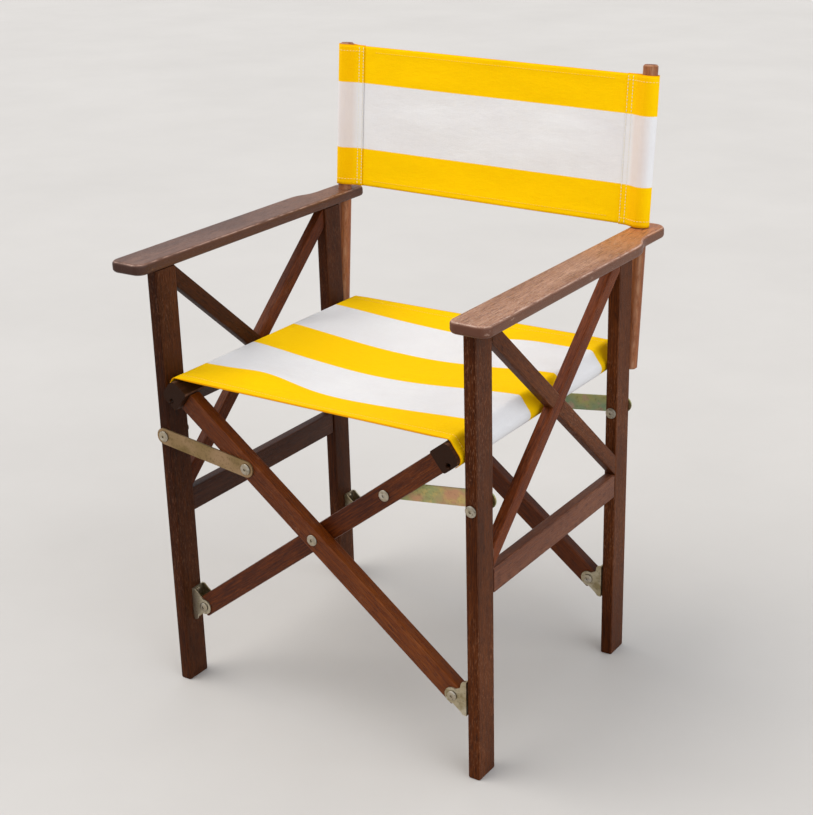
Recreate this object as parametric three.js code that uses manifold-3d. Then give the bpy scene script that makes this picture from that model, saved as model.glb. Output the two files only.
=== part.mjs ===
// Folding wooden director chair, open.
// Millimetres, +Z up, X across the chair, -Y to the front.
// The origin is on the floor under the middle of the armrests.
import * as THREE from 'three';
import { mergeVertices } from 'three/addons/utils/BufferGeometryUtils.js';
import Module from 'manifold-3d';

const wasm = await Module();
wasm.setup();

// ---- Driving dimensions --------------------------------------------------------------------

// Legs and armrests
const legSpan = 520;          // between the outer faces of the left and right legs
const legDepth = 426;         // front face of the front legs to back face of the back legs
const legWide = 18;           // leg section across the chair
const legDeep = 40;           // leg section from front to back
const armTop = 649;           // top of the armrests above the floor
const armThick = 16;
const armWide = 58;
const armLength = 524;
const armNose = 34.5;         // armrest in front of the front legs
const armInner = 3;           // armrest inboard of the legs
const armTailWide = 45;       // narrower tail behind the sweep
const armSweepStart = 399;    // from the armrest's front end to the start of the sweep
const armSweepLength = 58;
const armCorner = 15;         // corner radius of the armrest's front
const armTailCorner = 20;     // corner radius at the outer end of the tail
const armTailInnerCorner = 8;
const armEdge = 5;            // rounding of the armrest's edges

// Lower side rail and the two crossed braces of a side frame
const sideRailTop = 298;
const sideRailHigh = 36;
const sideRailThick = 16;
const braceWide = 23;
const braceThick = 15;

// Back posts
const postDiameter = 21;
const postInset = 6;          // post's axis inboard of the leg's outer face
const postFoot = 445;         // lower end above the floor
const postTip = 872;          // upper end above the floor
const postLean = 5.5;         // degrees backwards
const postGap = 1;            // between the post's foot and the back leg
const postChamfer = 2;
const postScrewRise = 14;     // post's screw above the post's lower end
const postScrewSunk = 3.5;    // its head below the post's surface

// Scissor bars
const openAngle = 52.3;       // degrees between an open bar and the vertical
const foldedAngle = 6.3;      // the same when the chair is folded
const pivotHeight = 120.5;    // lower pivots above the floor
const barWide = 30;
const barSpacing = 1;         // between the two bars of a crossing pair
const barTail = 7.5;          // bar below its lower pivot
const tenonLength = 8;
const tenonWide = 12;
const tenonThick = 10;

// Seat rails
const railAlong = 31;         // section measured along the bars
const railWide = 33.5;        // section measured square to the bars
const railRaise = 0.5;        // rail's middle above the bar's middle, square to the bar
const railOverhang = 10;      // rail in front of and behind the legs
const railRound = 10;         // rounded outer corners that carry the cloth
const railInnerRound = 4;     // rounded lower corner on the bars' side
const grooveRadius = 4;       // keyhole groove for the hem rod
const grooveSlot = 3;
const grooveAlong = -2;       // groove from the rail's middle, along the bar
const grooveDeep = 6.5;       // groove's axis above the rail's lower face
const rodDiameter = 4.5;
const rodSetback = 14;        // rod's ends inside the rail's ends

// Steel parts
const plateThick = 2;         // hinge brackets
const bracketHigh = 50;
const earRadius = 11.8;
const linkWide = 24;
const linkThick = 2.5;
const linkBarDistance = 134;  // link's bar pivot from the crossing
const rivetShank = 6;         // diameters
const rivetHead = 16;
const earRivetHead = 14;
const rivetHeadHigh = 2.2;
const dimpleRadius = 2;       // dimple in the middle of a rivet's head
const dimpleDeep = 1.5;
const headRim = 0.45;         // share of a head's height that is its upright rim
const headShoulder = 0.9;     // share of a head's radius at its shoulder
const headShoulderHigh = 0.8; // share of its height there
const headCrown = 0.62;       // share of its radius that is its flat top
const screwShank = 3.4;
const screwHead = 6.6;
const screwHeadHigh = 1.6;
const screwLength = 13;
const screwPoint = 3;         // tapered tip
const postScrewLength = 40;
const bracketScrewSpread = 19; // bracket screws above and below the pivot

// Cloths
const clothThick = 1.2;
const seatFrontSetback = 6;   // cloth's edges inside the rails' ends
const seatSag = 14;           // middle of the seat below the rails' tops
const backBottomGap = 2.5;    // back cloth above the armrests
const backHigh = 212;
const sleeveReach = 30;       // stitch line inboard of a post's axis

// Clearances
const touch = 0.3;            // between pieces that meet or are screwed together
const run = 0.4;              // between pieces that slide or turn on each other
const clothGap = 0.4;         // between a cloth and what it lies on
const railRun = 1.8;          // between the cloth on a seat rail and the leg it rises past
const edge = 2;               // eased edges of the wood

// ---- Places worked out from the dimensions --------------------------------------------------

const legOuter = legSpan / 2;
const legInner = legOuter - legWide;
const legMiddle = legOuter - legWide / 2;
const frontFace = -armLength / 2 + armNose;
const backFace = frontFace + legDepth;
const armBottom = armTop - armThick;
const frameMiddleY = (frontFace + backFace) / 2;
const pairShift = legDepth - legDeep;   // from the front pair of bars to the back pair
const barThick = (legDeep - barSpacing) / 2;
const tilt = THREE.MathUtils.degToRad(90 - openAngle);
// The lower pivots are as far inboard of the legs as a seat rail needs to turn beside them.
const railReach = railRound
  + Math.hypot(railAlong / 2 - railRound, railWide / 2 - railRaise - railRound);
const pivotInset = railReach + clothGap + clothThick + railRun;
const pivotX = legInner - pivotInset;
const halfBar = pivotX / Math.cos(tilt);
const crossHeight = pivotHeight + halfBar * Math.sin(tilt);
const lean = THREE.MathUtils.degToRad(postLean);
const postRadius = postDiameter / 2;
const postX = legOuter - postInset;
const postFootY = backFace + postGap + postRadius / Math.cos(lean);
const bracketDeep = barThick + 2 * (run + plateThick);

// The link's leg pivot is at the one height that leaves the link as long with the chair folded
// as with it open.
const openBarPoint = linkBarPointAt(openAngle);
const foldedBarPoint = linkBarPointAt(foldedAngle);
const linkLegHeight = pivotHeight
  + (foldedBarPoint.lengthSq() - openBarPoint.lengthSq()) / (foldedBarPoint.y - openBarPoint.y) / 2;

// Where the link's bar pivot is, inboard of the link's leg pivot and above the lower pivots,
// when the bars lean this many degrees from the vertical.
function linkBarPointAt(degrees) {
  const angle = THREE.MathUtils.degToRad(degrees);
  return new THREE.Vector2(
    (halfBar - linkBarDistance) * Math.sin(angle) + legMiddle - pivotX,
    (halfBar + linkBarDistance) * Math.cos(angle),
  );
}

// ---- Shaping helpers -------------------------------------------------------------------------

// A closed geometry as a solid that can be cut and joined.
function toSolid(geometry) {
  const bare = geometry.clone();
  bare.deleteAttribute('normal');
  bare.deleteAttribute('uv');
  const joined = mergeVertices(bare, 1e-4);
  const vertProperties = new Float32Array(joined.attributes.position.array);
  const triVerts = new Uint32Array(joined.index.array);
  return new wasm.Manifold(new wasm.Mesh({ numProp: 3, vertProperties, triVerts }));
}

// A solid as a geometry again.
function toGeometry(body) {
  const mesh = body.getMesh();
  const geometry = new THREE.BufferGeometry();
  const points = new THREE.BufferAttribute(new Float32Array(mesh.vertProperties), 3);
  geometry.setAttribute('position', points);
  geometry.setIndex(new THREE.BufferAttribute(new Uint32Array(mesh.triVerts), 1));
  geometry.computeVertexNormals();
  return geometry;
}

// Takes each tool's geometry out of a piece.
function cut(geometry, tools) {
  let body = toSolid(geometry);
  for (const tool of tools) {
    body = body.subtract(toSolid(tool));
  }
  return toGeometry(body);
}

function arc(x, y, radius, from, to, steps) {
  const points = [];
  for (let i = 0; i <= steps; i += 1) {
    const angle = from + (to - from) * i / steps;
    points.push(new THREE.Vector2(x + radius * Math.cos(angle), y + radius * Math.sin(angle)));
  }
  return points;
}

// Rectangle around the middle with the same rounding at each corner.
function roundedRectangle(wide, high, radius, steps = 2) {
  const x = wide / 2 - radius;
  const y = high / 2 - radius;
  const quarter = Math.PI / 2;
  const corners = [[x, y], [-x, y], [-x, -y], [x, -y]];
  return corners.flatMap(([cx, cy], i) => arc(cx, cy, radius, i * quarter, (i + 1) * quarter, steps));
}

function extrude(points, depth, options = {}) {
  const settings = { depth, bevelEnabled: false, curveSegments: 4, ...options };
  return new THREE.ExtrudeGeometry(new THREE.Shape(points), settings);
}

// Extrusion whose two ends are eased, with its full size kept.
function easedExtrusion(points, depth, ease, bevelSegments = 2) {
  const settings = {
    depth: depth - 2 * ease,
    bevelEnabled: true,
    bevelThickness: ease,
    bevelSize: ease,
    bevelOffset: -ease,
    bevelSegments,
  };
  return extrude(points, depth, settings).translate(0, 0, ease);
}

// Straight piece of wood from z = 0 upwards, with eased edges.
function stick(wide, deep, long, ease = edge) {
  const corner = ease * 1.25;   // leaves a little of the corner's rounding on the end faces
  return easedExtrusion(roundedRectangle(wide, deep, corner), long, ease);
}

// Rod along Y, for bores and for round pieces.
function rodY(radius, fromY, toY, sides = 14) {
  const rod = new THREE.CylinderGeometry(radius, radius, toY - fromY, sides);
  return rod.translate(0, (fromY + toY) / 2, 0);
}

function rodX(radius, fromX, toX, sides = 10) {
  return rodY(radius, -toX, -fromX, sides).rotateZ(Math.PI / 2);
}

function block(from, to) {
  const size = to.map((value, i) => value - from[i]);
  const middle = to.map((value, i) => (value + from[i]) / 2);
  return new THREE.BoxGeometry(...size).translate(...middle);
}

// Flat outline drawn in X and Z, made thick along Y from y = 0 backwards.
function plateXZ(points, thick) {
  return extrude(points, thick).rotateX(Math.PI / 2).translate(0, thick, 0);
}

// ---- Finishes --------------------------------------------------------------------------------

const finishes = {
  wood: { color: 0x4a2417, roughness: 0.42, metalness: 0 },
  paleWood: { color: 0xa8663f, roughness: 0.5, metalness: 0 },
  armWood: { color: 0x8a5f47, roughness: 0.5, metalness: 0 },
  zinc: { color: 0xb59a63, roughness: 0.35, metalness: 1 },
  nickel: { color: 0xc9c3b4, roughness: 0.3, metalness: 1 },
  yellowCloth: { color: 0xffcc00, roughness: 0.9, metalness: 0 },
  rod: { color: 0xd8a24a, roughness: 0.6, metalness: 0 },
};

const chair = new THREE.Group();
chair.name = 'director_chair';

function add(name, geometry, finish, parent = chair) {
  const mesh = new THREE.Mesh(geometry, new THREE.MeshStandardMaterial(finishes[finish]));
  mesh.name = name;
  parent.add(mesh);
  return mesh;
}

// ---- Fasteners -------------------------------------------------------------------------------

// Button rivet along Y, its heads on the planes y = front and y = back.
function rivet(front, back, headDiameter) {
  const profile = [
    ...headProfile(front, -1, headDiameter / 2),
    [rivetShank / 2, front],
    [rivetShank / 2, back],
    ...headProfile(back, 1, headDiameter / 2).reverse(),
  ];
  return lathe(profile, 20);
}

// Half section of a button head, from the dimple in its middle out to its rim and down to the
// plane y = at. It faces forwards (facing = -1) or backwards (1).
function headProfile(at, facing, radius) {
  const high = facing * rivetHeadHigh;
  return [
    [0, at + high - facing * dimpleDeep],
    [dimpleRadius * headShoulder, at + high - facing * dimpleDeep * headShoulderHigh],
    [dimpleRadius, at + high],
    [radius * headCrown, at + high],
    [radius * headShoulder, at + high * headShoulderHigh],
    [radius, at + high * headRim],
    [radius, at],
  ];
}

// One head on its own, facing forwards (facing = -1) or backwards (1) from the plane y = at.
function rivetCap(at, facing, headDiameter) {
  const profile = [...headProfile(at, facing, headDiameter / 2), [0, at]];
  return lathe(facing > 0 ? profile.reverse() : profile, 20);
}

function lathe(profile, sides) {
  const points = profile.map(([radius, y]) => new THREE.Vector2(radius, y));
  return new THREE.LatheGeometry(points, sides);
}

// Pan-head screw along Y: the head stands behind y = 0, the shank runs forwards to -length.
function screw(length) {
  const head = screwHead / 2;
  const shank = screwShank / 2;
  const profile = [
    [0, -length],
    [shank, -length + screwPoint],
    [shank, 0],
    [head, 0],
    [head, screwHeadHigh * headRim],
    [head * headCrown, screwHeadHigh],
    [0, screwHeadHigh],
  ];
  return lathe(profile, 12);
}

// ---- Side frames -----------------------------------------------------------------------------

// Places along Y where a bar passes its leg: front pair of bars at the front leg, back pair at
// the back leg. The bars that rise to the right (A) lie behind those that rise to the left (B).
const barFront = { a: frontFace + barThick + barSpacing, b: frontFace };
const stations = [{ name: 'front', shift: 0 }, { name: 'back', shift: pairShift }];
const sides = [
  { name: 'left', sign: -1, bar: 'a' },
  { name: 'right', sign: 1, bar: 'b' },
];

// Leg with its bores for the bracket's screws, the link's rivet and the post's screw.
function legGeometry(side, station) {
  const height = armBottom - touch;
  const base = frontFace + station.shift;
  const middleY = base + legDeep / 2;
  const barMiddle = barFront[side.bar] + station.shift + barThick / 2 - middleY;
  const inner = -side.sign * legWide / 2;
  const screwEnd = inner + side.sign * (screwLength + 1);
  const tools = [rodY(rivetShank / 2 + touch, -legDeep, legDeep).translate(0, 0, linkLegHeight)];
  for (const rise of [-bracketScrewSpread, bracketScrewSpread]) {
    const from = Math.min(inner - side.sign, screwEnd);
    const to = Math.max(inner - side.sign, screwEnd);
    const bore = rodX(screwShank / 2 + touch, from, to);
    tools.push(bore.translate(0, barMiddle, pivotHeight + rise));
  }
  if (station.name === 'back') {
    const bore = rodY(screwShank / 2 + touch, legDeep / 2 - postScrewTip - 1, legDeep / 2 + 1, 10);
    tools.push(bore.translate(side.sign * (postX - legMiddle), 0, postScrewHeight));
  }
  return cut(stick(legWide, legDeep, height), tools);
}

// The post's screw: through the post's foot and into the back leg.
const postScrewHeight = postFoot + postScrewRise;
const postScrewHead = postFootY + postRadius + postScrewRise * Math.tan(lean) - postScrewSunk;
const postScrewTip = postScrewLength - (postScrewHead - backFace);

function addLegs(side) {
  for (const station of stations) {
    const leg = add(`${side.name}_${station.name}_leg`, legGeometry(side, station), 'wood');
    leg.position.set(side.sign * legMiddle, frontFace + station.shift + legDeep / 2, 0);
  }
}

// Plan of the armrest: x outwards from its inner edge, y backwards from its front end.
function armOutline(sign) {
  const quarter = Math.PI / 2;
  const sweepEnd = armSweepStart + armSweepLength;
  const sweep = new THREE.CubicBezierCurve(
    new THREE.Vector2(armWide, armSweepStart),
    new THREE.Vector2(armWide, armSweepStart + armSweepLength * 0.55),
    new THREE.Vector2(armTailWide, sweepEnd - armSweepLength * 0.55),
    new THREE.Vector2(armTailWide, sweepEnd),
  );
  const tail = armTailCorner;
  const inner = armTailInnerCorner;
  const points = [
    ...arc(armCorner, armCorner, armCorner, 2 * quarter, 3 * quarter, 7),
    ...arc(armWide - armCorner, armCorner, armCorner, 3 * quarter, 4 * quarter, 7),
    ...sweep.getPoints(9),
    ...arc(armTailWide - tail, armLength - tail, tail, 0, quarter, 8),
    ...arc(inner, armLength - inner, inner, quarter, 2 * quarter, 5),
  ];
  return points.map((point) => new THREE.Vector2(sign * point.x, point.y));
}

function addArmrest(side) {
  const start = legInner - armInner;
  const body = easedExtrusion(armOutline(side.sign), armThick, armEdge, 4);
  const hole = new THREE.CylinderGeometry(postRadius + run, postRadius + run, armThick * 4, 24);
  hole.rotateX(Math.PI / 2 - lean);
  const holeY = postY(armBottom + armThick / 2);
  hole.translate(side.sign * (postX - start), holeY + armLength / 2, armThick / 2);
  const arm = add(`${side.name}_armrest`, cut(body, [hole]), 'armWood');
  arm.position.set(side.sign * start, -armLength / 2, armBottom);
}

// Y of the leaning post's axis at a height.
function postY(height) {
  return postFootY + (height - postFoot) * Math.tan(lean);
}

function addPost(side) {
  const length = (postTip - postFoot) / Math.cos(lean);
  const profile = [
    [0, 0],
    [postRadius - postChamfer, 0],
    [postRadius, postChamfer],
    [postRadius, length - postChamfer],
    [postRadius - postChamfer, length],
    [0, length],
  ];
  const round = lathe(profile, 24).rotateX(Math.PI / 2 - lean);
  const bore = rodY(screwShank / 2 + touch, -postDiameter, postDiameter, 10);
  bore.translate(0, postY(postScrewHeight) - postFootY, postScrewHeight - postFoot);
  const seat = rodY(screwHead / 2 + touch, 0, postDiameter, 12);
  seat.translate(0, postScrewHead - touch - postFootY, postScrewHeight - postFoot);
  const post = add(`${side.name}_back_post`, cut(round, [bore, seat]), 'paleWood');
  post.position.set(side.sign * postX, postFootY, postFoot);
  const fixing = add(`${side.name}_post_screw`, screw(postScrewLength), 'zinc');
  fixing.position.set(side.sign * postX, postScrewHead, postScrewHeight);
}

function addSideRail(side) {
  const length = pairShift - legDeep - 2 * touch;
  const rail = add(`${side.name}_side_rail`, stick(sideRailThick, sideRailHigh, length), 'wood');
  rail.rotation.x = -Math.PI / 2;
  const middle = sideRailTop - sideRailHigh / 2;
  rail.position.set(side.sign * (legOuter - sideRailThick / 2), frameMiddleY - length / 2, middle);
}

// The two braces run from corner to corner of the opening between the legs, the side rail and
// the armrest, and are halved into each other where they cross.
function addBraces(side) {
  const halfLong = (pairShift - legDeep) / 2 - touch;
  const halfHigh = (armBottom - sideRailTop) / 2 - touch;
  const diagonal = Math.hypot(halfLong, halfHigh);
  const slope = Math.acos(braceWide / 2 / diagonal) - Math.atan2(halfLong, halfHigh);
  const opening = block(
    [-braceThick, -halfLong, -halfHigh],
    [braceThick, halfLong, halfHigh],
  );
  const long = 3 * diagonal;
  const bar = (angle, grow) => {
    const body = stick(braceThick + 2 * grow, braceWide + 2 * grow, long).translate(0, 0, -long / 2);
    return body.rotateX(angle - Math.PI / 2);
  };
  const outside = block([0, -braceWide * 3, -braceWide * 3], [braceThick, braceWide * 3, braceWide * 3]);
  const inside = outside.clone().translate(-braceThick, 0, 0);
  const halves = side.sign > 0 ? [inside, outside] : [outside, inside];
  const kinds = [
    { name: 'rising', angle: slope, lapHalf: halves[0] },
    { name: 'falling', angle: -slope, lapHalf: halves[1] },
  ];
  kinds.forEach((kind, i) => {
    const other = toSolid(bar(kinds[1 - i].angle, touch)).intersect(toSolid(kind.lapHalf));
    const body = toSolid(bar(kind.angle, 0)).intersect(toSolid(opening)).subtract(other);
    const brace = add(`${side.name}_brace_${kind.name}`, toGeometry(body), 'wood');
    const x = side.sign * (legOuter - braceThick / 2);
    brace.position.set(x, frameMiddleY, (armBottom + sideRailTop) / 2);
  });
}

// ---- Hinge brackets on the legs --------------------------------------------------------------

// Ear of a bracket: x inboard from the leg, y up from the pivot.
function earOutline(sign) {
  const half = bracketHigh / 2;
  const tip = 4;                // rounding beside the base plate's ends
  const flank = 0.42;           // where the lobe's arc gives way to the hollow flank
  const fullFlank = 0.1;        // and to the fuller one
  const hollow = new THREE.Vector2(9.6, 0.58 * half);
  const full = new THREE.Vector2(12.5, -0.72 * half);
  const lobe = arc(pivotInset, 0, earRadius, -Math.PI / 2 - fullFlank, Math.PI / 2 + flank, 8);
  const points = [
    new THREE.Vector2(0, -half),
    ...arc(tip, -half + tip, tip, -Math.PI / 2, -0.3, 2),
    full,
    ...lobe,
    hollow,
    ...arc(tip, half - tip, tip, 0.3, Math.PI / 2, 2),
    new THREE.Vector2(0, half),
  ];
  return points.map((point) => new THREE.Vector2(-sign * point.x, sign * point.y));
}

function addBracket(side, station) {
  const barY = barFront[side.bar] + station.shift;
  const front = barY - run - plateThick;
  const ear = toSolid(plateXZ(earOutline(side.sign), plateThick));
  const gap = touch;            // base plate off the leg's face
  const x0 = -side.sign * gap;
  const x1 = -side.sign * (gap + plateThick);
  const low = [Math.min(x0, x1), 0, -bracketHigh / 2];
  const high = [Math.max(x0, x1), bracketDeep, bracketHigh / 2];
  const rearEar = ear.translate([0, bracketDeep - plateThick, 0]);
  const base = toSolid(block(low, high));
  const trim = toSolid(block([-gap, -1, -bracketHigh], [gap, bracketDeep + 1, bracketHigh]));
  let body = base.add(ear).add(rearEar).subtract(trim);
  const bore = rodY(rivetShank / 2 + touch, -1, bracketDeep + 1).translate(-side.sign * pivotInset, 0, 0);
  body = body.subtract(toSolid(bore));
  for (const rise of [-bracketScrewSpread, bracketScrewSpread]) {
    const hole = rodX(screwShank / 2 + touch, -10, 10).translate(0, bracketDeep / 2, rise);
    body = body.subtract(toSolid(hole));
  }
  const name = `${side.name}_${station.name}`;
  const bracket = add(`${name}_bracket`, toGeometry(body), 'zinc');
  bracket.position.set(side.sign * legInner, front, pivotHeight);
  addBracketScrews(side, name, front + bracketDeep / 2);
  const pin = rivet(front - touch, front + bracketDeep + touch, earRivetHead);
  add(`${name}_bracket_rivet`, pin, 'nickel').position.set(side.sign * pivotX, 0, pivotHeight);
}

function addBracketScrews(side, name, y) {
  const head = side.sign * (legInner - plateThick - 2 * touch);
  [['lower', -1], ['upper', 1]].forEach(([place, direction]) => {
    const piece = add(`${name}_screw_${place}`, screw(screwLength), 'zinc');
    piece.rotation.z = side.sign * Math.PI / 2;
    piece.position.set(head, y, pivotHeight + direction * bracketScrewSpread);
  });
}

// ---- Scissor bars, seat rails and their rivets -----------------------------------------------

// Bar with its middle at the crossing: x along the bar and up, z square to it and up.
function barGeometry(sign, kind) {
  const end = halfBar - railAlong / 2 - touch;
  const start = -halfBar - barTail;
  const body = stick(barThick, barWide, end - start).rotateY(Math.PI / 2).rotateX(Math.PI / 2);
  const shaped = toSolid(body.translate(start, 0, 0));
  const tenon = block(
    [end - 1 - edge, -tenonThick / 2, -tenonWide / 2],
    [end + tenonLength, tenonThick / 2, tenonWide / 2],
  );
  let bar = shaped.add(toSolid(tenon));
  const bores = kind === 'a' ? [-halfBar, 0, linkBarDistance] : [-halfBar, 0];
  for (const x of bores) {
    bar = bar.subtract(toSolid(rodY(rivetShank / 2 + touch, -barThick, barThick).translate(x, 0, 0)));
  }
  return sign > 0 ? toGeometry(bar) : toGeometry(bar.rotate([0, 0, 180]));
}

// Section of a seat rail: x along the bar and outwards, y square to it and up. The keyhole
// groove opens in the lower face.
function railOutline(sign) {
  const x = railAlong / 2;
  const y = railWide / 2;
  const quarter = Math.PI / 2;
  const slot = grooveSlot / 2;
  const opening = Math.asin(slot / grooveRadius);
  const grooveY = -y + grooveDeep;
  const round = railRound;
  const inner = railInnerRound;
  const points = [
    ...arc(-x + inner, -y + inner, inner, 2 * quarter, 3 * quarter, 3),
    new THREE.Vector2(grooveAlong - slot, -y),
    ...arc(grooveAlong, grooveY, grooveRadius, -quarter - opening, -5 * quarter + opening, 12),
    new THREE.Vector2(grooveAlong + slot, -y),
    ...arc(x - round, -y + round, round, -quarter, 0, 5),
    ...arc(x - round, y - round, round, 0, quarter, 5),
    new THREE.Vector2(-x + edge, y),
    new THREE.Vector2(-x, y - edge),
  ];
  return points.map((point) => new THREE.Vector2(sign * point.x, point.y));
}

function addSeatRail(side, kind, group) {
  const length = legDepth + 2 * railOverhang;
  const middleX = side.sign * halfBar;
  let rail = toSolid(plateXZ(railOutline(side.sign), length).translate(0, -length / 2, 0));
  for (const station of stations) {
    const y = barFront[kind] + station.shift + barThick / 2 - frameMiddleY;
    const from = -railAlong / 2 - 1;
    const to = -railAlong / 2 + tenonLength + 2 * touch;
    const xs = [side.sign * from, side.sign * to].sort((p, q) => p - q);
    const mortise = block(
      [xs[0], y - tenonThick / 2 - touch, -tenonWide / 2 - railRaise - touch],
      [xs[1], y + tenonThick / 2 + touch, tenonWide / 2 - railRaise + touch],
    );
    rail = rail.subtract(toSolid(mortise));
  }
  const mesh = add(`${side.name}_seat_rail`, toGeometry(rail), 'wood', group);
  mesh.position.set(middleX, frameMiddleY, railRaise);
  const rodLength = length - 2 * rodSetback;
  const rod = rodY(rodDiameter / 2, -rodLength / 2, rodLength / 2, 10);
  const hem = add(`${side.name}_hem_rod`, rod, 'rod', group);
  hem.position.set(
    middleX + side.sign * grooveAlong,
    frameMiddleY,
    railRaise - railWide / 2 + grooveDeep,
  );
}

// Both bars of one slope with their seat rail, turned as one about the crossing.
function addScissor(kind) {
  const side = kind === 'a' ? sides[1] : sides[0];
  const group = new THREE.Group();
  group.position.set(0, 0, crossHeight);
  group.rotation.y = -side.sign * tilt;
  chair.add(group);
  for (const station of stations) {
    const bar = add(`${station.name}_bar_${kind}`, barGeometry(side.sign, kind), 'wood', group);
    bar.position.y = barFront[kind] + station.shift + barThick / 2;
    if (kind === 'a') {
      addBarRivet(side, station, group);
    }
  }
  addSeatRail(side, kind, group);
}

// Rivet in bar A for the right link: its head is on the bar's front, its shank ends in the bar.
function addBarRivet(side, station, group) {
  const front = barFront.a + station.shift;
  const body = toSolid(rivetCap(front - touch, -1, rivetHead));
  const shank = toSolid(rodY(rivetShank / 2, front - touch - 0.5, front + barThick, 14));
  const piece = add(`${station.name}_right_link_bar_rivet`, toGeometry(body.add(shank)), 'nickel', group);
  piece.position.x = side.sign * linkBarDistance;
}

function addCrossingRivets() {
  for (const station of stations) {
    const front = frontFace + station.shift - touch;
    const pin = rivet(front, front + legDeep + 2 * touch, rivetHead);
    add(`${station.name}_crossing_rivet`, pin, 'nickel').position.z = crossHeight;
  }
}

// ---- Links -----------------------------------------------------------------------------------

const linkFall = linkLegHeight - pivotHeight - openBarPoint.y;
const linkSpan = Math.hypot(openBarPoint.x, linkFall);
const linkDrop = Math.atan2(linkFall, openBarPoint.x);

// Flat bar with round ends, its leg hole at the origin and its other end inboard.
function linkGeometry() {
  const half = Math.PI / 2;
  const outline = [
    ...arc(0, 0, linkWide / 2, half, 3 * half, 9),
    ...arc(linkSpan, 0, linkWide / 2, -half, half, 9),
  ];
  const hole = rodY(rivetShank / 2 + touch, -1, linkThick + 1);
  return cut(plateXZ(outline, linkThick), [hole]);
}

// The left links lie in front of the legs and of bars B, the right ones behind the legs and
// bars A. The rivet in a leg is the link's axle. At the other end a cap rides on the link, and
// nothing passes through the bar and the link together.
function addLink(side, station) {
  const name = `${station.name}_${side.name}_link`;
  const front = side.sign < 0
    ? frontFace + station.shift - touch - linkThick
    : frontFace + station.shift + legDeep + touch;
  const group = new THREE.Group();
  group.position.set(side.sign * legMiddle, front, linkLegHeight);
  group.rotation.y = side.sign > 0 ? Math.PI - linkDrop : linkDrop;
  chair.add(group);
  add(name, linkGeometry(), 'zinc', group);
  const cap = rivetCap(side.sign < 0 ? -touch : linkThick + touch, side.sign, rivetHead);
  const spot = add(`${name}_cap`, cap, 'nickel', group);
  spot.position.x = linkSpan;
  const legFront = frontFace + station.shift;
  const heads = side.sign < 0
    ? [front - touch, legFront + legDeep + touch]
    : [legFront - touch, front + linkThick + touch];
  const axle = add(`${name}_leg_rivet`, rivet(heads[0], heads[1], rivetHead), 'nickel');
  axle.position.set(side.sign * legMiddle, 0, linkLegHeight);
}

// ---- Cloths ----------------------------------------------------------------------------------

// Band of even thickness along a line of points, closed round both of its sides.
function band(points, thick) {
  const normals = points.map((point, i) => {
    const before = points[Math.max(i - 1, 0)];
    const after = points[Math.min(i + 1, points.length - 1)];
    const along = after.clone().sub(before).normalize();
    return new THREE.Vector2(-along.y, along.x);
  });
  const upper = points.map((point, i) => point.clone().addScaledVector(normals[i], thick / 2));
  const lower = points.map((point, i) => point.clone().addScaledVector(normals[i], -thick / 2));
  return [...upper, ...lower.reverse()];
}

// Section of the seat cloth's right half in X and Z, from the middle of the seat outwards: a
// sag, then over the rail's rounded outer corners and back under it to the groove.
function seatHalf() {
  const off = clothGap + clothThick / 2;
  const x = railAlong / 2;
  const y = railWide / 2;
  const round = railRound;
  const quarter = Math.PI / 2;
  const leave = 0.12;           // the cloth leaves the rail just inboard of its highest line
  const local = [
    ...arc(x - round, y - round, round + off, quarter - tilt + leave, 0, 6),
    ...arc(x - round, -y + round, round + off, 0, -quarter, 5),
    new THREE.Vector2(grooveAlong + grooveSlot, -y - off),
  ];
  const turned = local.map((point) => {
    const along = halfBar + point.x;
    const up = railRaise + point.y;
    return new THREE.Vector2(
      along * Math.cos(tilt) - up * Math.sin(tilt),
      crossHeight + along * Math.sin(tilt) + up * Math.cos(tilt),
    );
  });
  const first = turned[0];
  const steps = 8;
  const sag = [];
  for (let i = 0; i < steps; i += 1) {
    const share = i / steps;
    const drop = seatSag * (1 - share * share) ** 2;
    sag.push(new THREE.Vector2(first.x * share, first.y - drop));
  }
  return [...sag, ...turned];
}

function addSeatCloth() {
  const right = seatHalf();
  const left = right.slice(1).reverse().map((point) => new THREE.Vector2(-point.x, point.y));
  const length = legDepth + 2 * (railOverhang - seatFrontSetback);
  const cloth = plateXZ(band([...left, ...right], clothThick), length);
  add('seat_cloth', cloth, 'yellowCloth').position.y = frameMiddleY - length / 2;
}

// Plan of the back cloth: a sleeve round each post and one flat panel between them.
function addBackCloth() {
  const inner = postRadius + clothGap;
  const outer = inner + clothThick;
  const panel = clothThick;
  const waist = postX - sleeveReach;
  const half = Math.PI / 2;
  const turn = 0.35;            // where the sleeve leaves the post for the stitch line
  const rightSide = [
    new THREE.Vector2(waist, -panel),
    ...arc(postX, 0, outer, -half - turn, half + turn, 14),
    new THREE.Vector2(waist, panel),
  ];
  const leftSide = rightSide.map((point) => new THREE.Vector2(-point.x, -point.y));
  const shape = new THREE.Shape([...rightSide, ...leftSide]);
  for (const sign of [-1, 1]) {
    shape.holes.push(new THREE.Path(arc(sign * postX, 0, inner, 0, 2 * Math.PI, 20).slice(0, -1)));
  }
  const long = backHigh / Math.cos(lean);
  const body = new THREE.ExtrudeGeometry(shape, { depth: long, bevelEnabled: false });
  const cloth = add('back_cloth', body.rotateX(-lean), 'yellowCloth');
  const bottom = armTop + backBottomGap + outer * Math.sin(lean);
  cloth.position.set(0, postY(bottom), bottom);
}

// ---- The chair -------------------------------------------------------------------------------

for (const side of sides) {
  addLegs(side);
  addArmrest(side);
  addSideRail(side);
  addBraces(side);
  addPost(side);
  for (const station of stations) {
    addBracket(side, station);
    addLink(side, station);
  }
}
addScissor('a');
addScissor('b');
addCrossingRivets();
addSeatCloth();
addBackCloth();

export default chair;
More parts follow.
